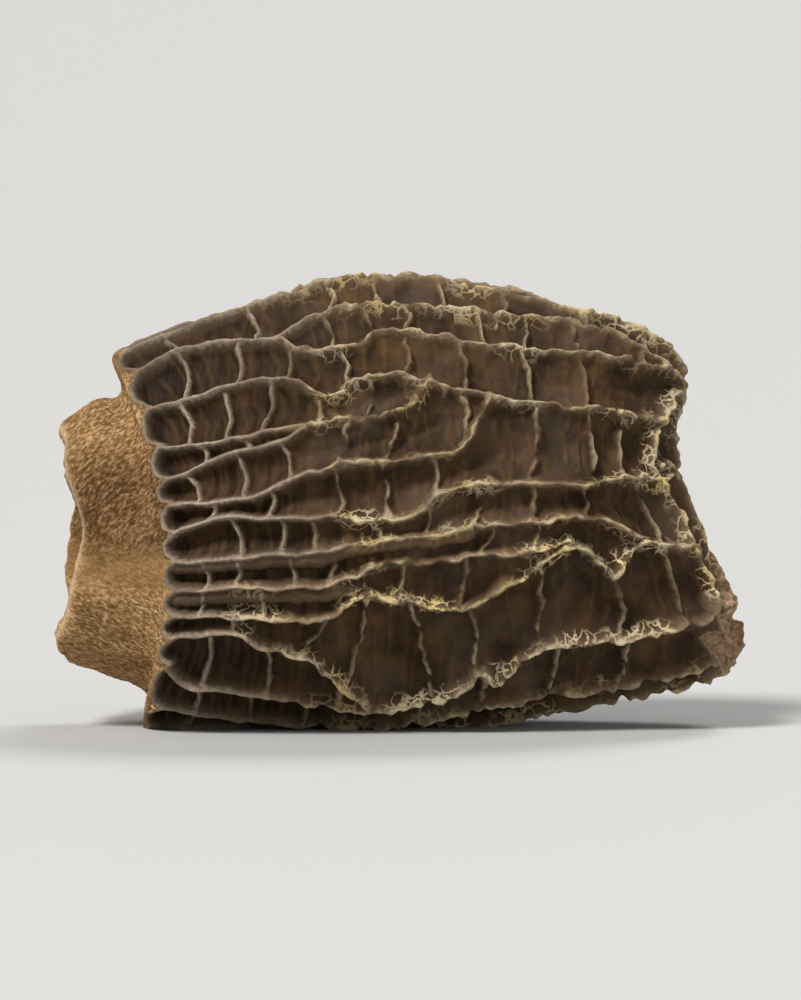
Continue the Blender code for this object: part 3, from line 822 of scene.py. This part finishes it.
class Value:
    """A shader socket. The operators add Math nodes."""

    def __init__(self, paint, socket):
        self.paint = paint
        self.socket = socket

    def math(self, operation, *others):
        return self.paint.node("Math", {"operation": operation}, dict(enumerate([self, *others])))

    def __add__(self, other):
        return self.math("ADD", other)

    def __sub__(self, other):
        return self.math("SUBTRACT", other)

    def __rsub__(self, other):
        return (self * -1) + other

    def __mul__(self, other):
        return self.math("MULTIPLY", other)

    __radd__ = __add__
    __rmul__ = __mul__

    def clipped(self):
        return self.math("MAXIMUM", 0.0).math("MINIMUM", 1.0)


SOCKETS = {
    "base_color": "Base Color",
    "roughness": "Roughness",
    "normal": "Normal",
    "specular_ior_level": "Specular IOR Level",
}


class Paint:
    """A material's node tree, with one method that adds any node."""

    def __init__(self, name):
        self.material = bpy.data.materials.new(name)
        self.material.use_nodes = True
        self.tree = self.material.node_tree
        self.shader = self.tree.nodes["Principled BSDF"]

    def node(self, kind, settings=None, sockets=None, output=0):
        """Adds a node, sets it, then gives its sockets their values or links."""
        made = self.tree.nodes.new("ShaderNode" + kind)
        for name, value in (settings or {}).items():
            setattr(made, name, value)
        for name, value in (sockets or {}).items():
            self.give(made.inputs[name], value)
        return Value(self, made.outputs[output])

    def give(self, socket, value):
        """Links a value to a socket, or sets it there."""
        if isinstance(value, Value):
            self.tree.links.new(value.socket, socket)
        elif isinstance(value, tuple) and socket.type == "RGBA":
            socket.default_value = (*value, 1)
        else:
            socket.default_value = value

    def finish(self, **sockets):
        """Gives the main shader's sockets their values or links."""
        for name, value in sockets.items():
            self.give(self.shader.inputs[SOCKETS[name]], value)
        return self.material

    def mark(self, name):
        """One of the mesh's own marks."""
        return self.node("Attribute", {"attribute_name": name}, output="Fac")

    def mix(self, share, first, second):
        """From the first colour to the second."""
        return self.node("Mix", {"data_type": "RGBA"}, {0: share, 6: first, 7: second}, output=2)

    def spots(self, place, size, detail=3.0, stretch=None, turn=(0, 0, 0), seed=0.0):
        """Noise from 0 to 1 with lumps of a size in metres. They can be stretched along turned axes."""
        if stretch:
            place = self.node("Mapping", {"vector_type": "TEXTURE"},
                              {"Vector": place, "Rotation": turn, "Scale": stretch})
        return self.node("TexNoise", {"noise_dimensions": "4D"},
                         {"Vector": place, "W": seed, "Scale": 1 / size, "Detail": detail})

    def ramp(self, value, low, high):
        """The value's share of the way from low to high, clipped."""
        return self.node("MapRange", None, {"Value": value, "From Min": low, "From Max": high})


# The pit colours are partly the flesh's own dark brown and partly painted shade: the near-black and the dark
# one darken the deep pits as their shade would.
PIT_SHADE_BLACK = (0.013, 0.0078, 0.0042)
PIT_DARK = (0.028, 0.0165, 0.0085)
PIT_BROWN = (0.072, 0.041, 0.0185)
# The grey on the wide pits is partly their own tone and partly a painted greyish sheen.
PIT_GREY_SHEEN = (0.066, 0.048, 0.034)
PIT_RUST = (0.125, 0.064, 0.024)
CREST_GREY = (0.098, 0.069, 0.044)
CREST_TAN = (0.135, 0.088, 0.046)
# The grey line on the crests' tops is partly the worn crest's own pale colour and partly painted highlight.
LINE_GREY_AND_HIGHLIGHT = (0.36, 0.288, 0.210)
LINE_TAN = (0.22, 0.155, 0.090)
LINE_CREAM = (0.52, 0.43, 0.275)
LINE_YELLOW = (0.56, 0.42, 0.19)
TORN_TAN = (0.36, 0.245, 0.155)
RED_FLESH = (
    (0.062, 0.029, 0.010),
    (0.130, 0.067, 0.026),
    (0.27, 0.160, 0.075),
)
# The pale flesh is partly its own tone and partly painted light, made bright enough to lift the stub's
# shaded underside.
PALE_FLESH_AND_PAINTED_LIGHT = (
    (0.185, 0.092, 0.032),
    (0.345, 0.198, 0.080),
    (0.56, 0.385, 0.205),
)
RIM_PALE = (0.62, 0.44, 0.25)
HOLLOW_TAN = (0.20, 0.115, 0.052)
HOLLOW_RED = (0.15, 0.056, 0.022)

# Sizes of the painted patterns in metres, and how they are stretched along the three axes.
CLOUDS = 0.0026
PIT_FIBRES = 0.00024
FIBRES_STRETCHED = (1, 5, 5)
MOTTLES = 0.0006
MOTTLES_STRETCHED = (1, 1.6, 1.6)
# The grey patches on the wide pits are partly painted sheen.
GREY_SHEEN_PATCHES = 0.004
FLECKS = 0.00022
PALE_PATCHES = 0.003
YELLOW_PATCHES = 0.0014
STEM_CLOUDS = 0.0024
STEM_GRAINS = 0.00015
MEALINESS = 0.00017
WRINKLES = 0.0005
WRINKLES_STRETCHED = (1, 2.5, 2.5)

# The web of crumbled crests: how many cells and jolts to a metre, how far a jolt shifts a line, and the
# sizes of its rags and gaps.
WEB_CELLS = 1500
WEB_JOLTS = 2200
WEB_JOLT = (0.0007, 0.0007, 0.0007)
WEB_RAGS = 0.00045
WEB_GAPS = 0.0016

# The fine relief that is only painted, in metres, and the dry flesh's faint shine.
BUMP_HEIGHT = 0.0001
BUMP_STRENGTH = 0.8
SHINE = 0.08

# Heights on the stub in metres, where one look turns into another.
GRAINS_TURN = (0.007, 0.011)
SMOOTH_BAND_AT = 0.0083
SMOOTH_BAND_EDGE = (0.0004, 0.0016)
# The stub turns paler below: partly its own tone, partly painted light on the shaded underside.
PALE_AND_PAINTED_LIGHT_BELOW = (0.0100, 0.0083)
PALE_ABOVE = (0.0125, 0.0155)
HOLLOW_TURN = (0.0100, 0.0125)


def lace(paint, place):
    """Thin, crumpled, broken lines: a ragged one on each crest, and a web where the crests have crumbled."""
    fray, laced, from_main = (paint.mark(name) for name in ("fray", "laced", "from_main"))
    jolt = paint.node("TexNoise", {"noise_dimensions": "3D"},
                      {"Vector": place, "Scale": WEB_JOLTS, "Detail": 3}, output="Color")
    jolted = paint.node("VectorMath", {"operation": "MULTIPLY_ADD"}, {0: jolt, 1: WEB_JOLT, 2: place})
    cells = paint.node("TexVoronoi", {"feature": "DISTANCE_TO_EDGE"}, {"Vector": jolted, "Scale": WEB_CELLS})
    reach = laced * 0.3 + 0.25
    web = paint.ramp(cells, 0.11, 0.035) * paint.ramp(from_main - reach, 0.1, -0.25) * laced
    ragged = paint.spots(place, WEB_RAGS, 4, seed=3)
    spine = paint.ramp(from_main + (ragged - 0.5) * 0.5, 0.15, 0.05) * (laced * 0.6 + fray * 0.4)
    broken = paint.ramp(paint.spots(place, WEB_GAPS, 3, seed=6) + laced * 0.09, 0.42, 0.54)
    return (web.math("MAXIMUM", spine) * broken).clipped()


def cap_floor(paint, place, fray):
    """The pits: nearly black with fibres near the stem, and brown with rusty mottles towards the tip. The
    black near the stem is partly the flesh's own dark brown and partly painted shade in the deep, narrow
    cells.
    """
    clouds = paint.spots(place, CLOUDS, 4)
    fibres = paint.spots(place, PIT_FIBRES, 4, stretch=FIBRES_STRETCHED)
    mottles = paint.spots(place, MOTTLES, 5, stretch=MOTTLES_STRETCHED, seed=2)
    # Near the stem the pits are painted nearly black: partly the flesh's own dark brown, partly painted
    # shade in the deep cells.
    black = paint.mix(paint.ramp(clouds, 0.35, 0.65), PIT_SHADE_BLACK, PIT_DARK)
    black = paint.mix(paint.ramp(fibres + (clouds - 0.5) * 0.5, 0.42, 0.75) * 0.6, black, PIT_BROWN)
    # Grey patches on the wide pits: partly the flesh's own tone, partly a painted greyish sheen.
    grey_sheen = paint.ramp(paint.spots(place, GREY_SHEEN_PATCHES, 2, seed=6), 0.42, 0.6)
    brown = paint.mix(grey_sheen, PIT_BROWN, PIT_GREY_SHEEN)
    brown = paint.mix(paint.ramp(clouds, 0.38, 0.66), PIT_DARK, brown)
    brown = paint.mix(paint.ramp(mottles + (clouds - 0.5) * 0.6, 0.45, 0.75) * 0.42, brown, PIT_RUST)
    folds = paint.ramp(paint.mark("from_fold") + (fibres - 0.5) * 0.2, 0.2, 0.04)
    return paint.mix(folds * 0.3, paint.mix(fray, black, brown), PIT_RUST)


def cap_colour(paint, place, frayed):
    """Dark pits, partly painted shade in the recesses; grey-brown crests with paler tops, partly painted
    highlight; and cream lace where the crests have frayed.
    """
    rise, fray, laced, torn = (paint.mark(name) for name in ("rise", "fray", "laced", "torn"))
    from_main, from_cross = paint.mark("from_main"), paint.mark("from_cross")
    flecks = paint.spots(place, FLECKS, 4)
    patches = paint.ramp(paint.spots(place, PALE_PATCHES, 3, seed=4), 0.35, 0.65)
    crest = paint.mix(fray, CREST_GREY, CREST_TAN)
    # The skin goes from the pit colour, which is partly painted shade, up to the crest colour as the net
    # rises.
    crested = paint.ramp(rise + (flecks - 0.5) * 0.3, 0.35, 1.0)
    skin = paint.mix(crested, cap_floor(paint, place, fray), crest)
    # A pale line on each main crest's top: partly its own worn colour, partly painted highlight.
    top = paint.ramp(from_main + (flecks - 0.5) * 0.3, 0.2, 0.02)
    top = top * (0.3 + patches * 0.6) * (1 - fray * 0.5)
    skin = paint.mix(top.clipped(), skin, LINE_GREY_AND_HIGHLIGHT)
    # The cross ribs' pale tops: partly their own colour, partly painted highlight.
    cross_top_and_highlight = paint.ramp(from_cross + (flecks - 0.5) * 0.2, 0.17, 0.04) * (0.3 + patches * 0.5)
    line = paint.mix(fray, LINE_GREY_AND_HIGHLIGHT, LINE_TAN)
    skin = paint.mix(cross_top_and_highlight, skin, paint.mix(laced, line, LINE_CREAM))
    yellow = paint.ramp(paint.spots(place, YELLOW_PATCHES, 2, seed=9), 0.45, 0.6)
    skin = paint.mix(frayed, skin, paint.mix(yellow, LINE_CREAM, LINE_YELLOW))
    patch = paint.mix(paint.ramp(flecks + (patches - 0.5) * 0.25, 0.3, 0.6), PIT_RUST, TORN_TAN)
    skin = paint.mix(torn * (1 - frayed * 0.6).clipped(), skin, patch)
    edge = paint.ramp((torn - 0.45 + (flecks - 0.5) * 0.4).math("ABSOLUTE"), 0.09, 0.02)
    return paint.mix(edge * patches * 0.5, skin, LINE_CREAM)


def stem_grains(paint, place, height):
    """Short slanted grains: upright ones above, flatter ones below, and a smoother band between."""
    upper = paint.spots(place, STEM_GRAINS, 3, stretch=(1, 1, 2), turn=(0, math.radians(50), 0))
    lower = paint.spots(place, STEM_GRAINS, 3, stretch=(2, 1, 1), turn=(0, math.radians(24), 0), seed=3)
    grains = lower + (upper - lower) * paint.ramp(height, *GRAINS_TURN)
    off_band = paint.ramp((height - SMOOTH_BAND_AT).math("ABSOLUTE"), *SMOOTH_BAND_EDGE)
    return (grains - 0.5) * (off_band * 0.8 + 0.6)


def stem_colour(paint, place, height, grains):
    """Mealy ochre flesh, redder above the middle and paler below, on top and on the cut rim. The paleness
    below is partly the flesh's own tone and partly painted light on the underside, which the lamps leave in
    shade.
    """
    clouds = paint.spots(place, STEM_CLOUDS, 3)
    shade = grains + 0.5 + (clouds - 0.5) * 0.3
    # Paler below: partly the flesh's own tone, partly painted light on the underside that the lamps leave in
    # shade.
    pale = paint.ramp(height, *PALE_AND_PAINTED_LIGHT_BELOW) + paint.ramp(height, *PALE_ABOVE) * 0.7
    pale = (pale + (clouds - 0.5) * 0.8).clipped()
    fleshes = []
    for dark, middle, light in (RED_FLESH, PALE_FLESH_AND_PAINTED_LIGHT):
        flesh = paint.mix(paint.ramp(shade, 0.34, 0.52), dark, middle)
        fleshes.append(paint.mix(paint.ramp(shade, 0.52, 0.74), flesh, light))
    return paint.mix(paint.mark("rim") * 0.7, paint.mix(pale, *fleshes), RIM_PALE)


def morel_material():
    """The cap, the stem stub and the inside, told apart by the mesh's own marks."""
    paint = Paint("dried_flesh")
    place = paint.node("TexCoord", output="Object")
    stem, hollow, rise = (paint.mark(name) for name in ("stem", "hollow", "rise"))
    frayed = lace(paint, place)
    height = paint.node("SeparateXYZ", None, {"Vector": place}, output="Z")
    grains = stem_grains(paint, place, height)
    colour = paint.mix(stem, cap_colour(paint, place, frayed), stem_colour(paint, place, height, grains))
    inside = paint.mix(paint.ramp(height, *HOLLOW_TURN), HOLLOW_TAN, HOLLOW_RED)
    colour = paint.mix(hollow * 0.6, colour, inside)
    meal = paint.spots(place, MEALINESS, 4)
    wrinkles = paint.spots(place, WRINKLES, 5, stretch=WRINKLES_STRETCHED)
    relief = meal * (stem * 0.4 + rise * rise * 0.7 + 0.1) + grains * stem * 1.2
    relief = relief + wrinkles * 0.5 + frayed * 0.7
    bump = paint.node("Bump", None, {"Height": relief, "Distance": BUMP_HEIGHT, "Strength": BUMP_STRENGTH})
    roughness = (0.66 + 0.24 * (stem + rise * rise).clipped() + (wrinkles - 0.5) * 0.3).clipped()
    return paint.finish(base_color=colour, roughness=roughness, normal=bump, specular_ior_level=SHINE)


FLOOR_COLOUR = (0.42, 0.415, 0.405)
FLOOR_SIZE = 6.0
BACKDROP_AT = 0.1
BACKDROP_BEND = 3.0
BEND_STEPS = 16


def only(items, kind):
    """The items that are of one kind."""
    return [item for item in items if isinstance(item, kind)]


def stage_floor():
    """A pale floor that bends up into a backdrop."""
    shape = bmesh.new()
    near = [shape.verts.new((side * FLOOR_SIZE / 2, -FLOOR_SIZE / 2, 0)) for side in (-1, 1)]
    edge = shape.edges.new(near)
    moved = bmesh.ops.extrude_edge_only(shape, edges=[edge])["geom"]
    far_ends = only(moved, bmesh.types.BMVert)
    bmesh.ops.translate(shape, verts=far_ends, vec=(0, FLOOR_SIZE / 2 + BACKDROP_AT, 0))
    far = far_ends + only(moved, bmesh.types.BMEdge)
    bent = bmesh.ops.spin(shape, geom=far, cent=(0, BACKDROP_AT, BACKDROP_BEND), axis=(1, 0, 0),
                          angle=math.pi / 2, steps=BEND_STEPS)["geom_last"]
    top = bmesh.ops.extrude_edge_only(shape, edges=only(bent, bmesh.types.BMEdge))["geom"]
    bmesh.ops.translate(shape, verts=only(top, bmesh.types.BMVert), vec=(0, 0, FLOOR_SIZE / 2))
    mesh = bpy.data.meshes.new("floor")
    shape.to_mesh(mesh)
    shape.free()
    mesh.shade_smooth()
    floor = bpy.data.objects.new("floor", mesh)
    bpy.context.scene.collection.objects.link(floor)
    paint = Paint("floor_paper")
    mesh.materials.append(paint.finish(base_color=FLOOR_COLOUR, roughness=0.8))


def light(name, place, aim, size, power):
    """A soft square lamp."""
    lamp = bpy.data.lights.new(name, "AREA")
    lamp.size = size
    lamp.energy = power
    holder = bpy.data.objects.new(name, lamp)
    holder.location = place
    holder.rotation_euler = (Vector(aim) - Vector(place)).to_track_quat("-Z", "Y").to_euler()
    bpy.context.scene.collection.objects.link(holder)


SKY_COLOUR = (1.0, 0.99, 0.97, 1)
SKY_STRENGTH = 0.25


def lights(centre):
    """Soft studio light: a key from above the camera's left, a weak fill, a lamp behind and a soft sky."""
    light("key", (-1.0, -1.4, 2.0), centre, size=0.7, power=90.0)
    light("fill", (1.8, -1.4, 0.6), centre, size=1.2, power=12.0)
    light("back", (0.6, 1.3, 1.8), centre, size=0.8, power=30.0)
    sky = bpy.data.worlds.new("sky")
    sky.use_nodes = True
    background = sky.node_tree.nodes["Background"]
    background.inputs["Color"].default_value = SKY_COLOUR
    background.inputs["Strength"].default_value = SKY_STRENGTH
    bpy.context.scene.world = sky


LENS = 300.0
SENSOR = 36.0
PHOTO_WIDTH = 801
PHOTO_HEIGHT = 1000
FILLED_SHARE = 0.86
LOOK_DOWN = 3.0
CLIP_NEAR = 0.01
CLIP_FAR = 10


def camera(centre):
    """The photograph's view: level with the morel, square to its length, from far enough to look flat."""
    lens = bpy.data.cameras.new("camera")
    lens.lens = LENS
    lens.sensor_width = SENSOR
    length = CAD_HIGH[0] - CAD_LOW[0]
    distance = length / FILLED_SHARE * LENS / SENSOR * PHOTO_HEIGHT / PHOTO_WIDTH
    down = math.radians(LOOK_DOWN)
    back = Vector((0, -math.cos(down), math.sin(down)))
    holder = bpy.data.objects.new("camera", lens)
    holder.location = centre + back * distance
    holder.rotation_euler = (-back).to_track_quat("-Z", "Y").to_euler()
    lens.clip_start = CLIP_NEAR
    lens.clip_end = CLIP_FAR
    bpy.context.scene.collection.objects.link(holder)
    bpy.context.scene.camera = holder


def main():
    """Seeds the noise, which would follow the clock, then makes the morel, its stage and the camera."""
    noise.seed_set(SEED)
    centre = (CAD_LOW + CAD_HIGH) / 2
    morel()
    stage_floor()
    lights(centre)
    camera(centre)
    bpy.context.scene.view_settings.view_transform = "Standard"


main()
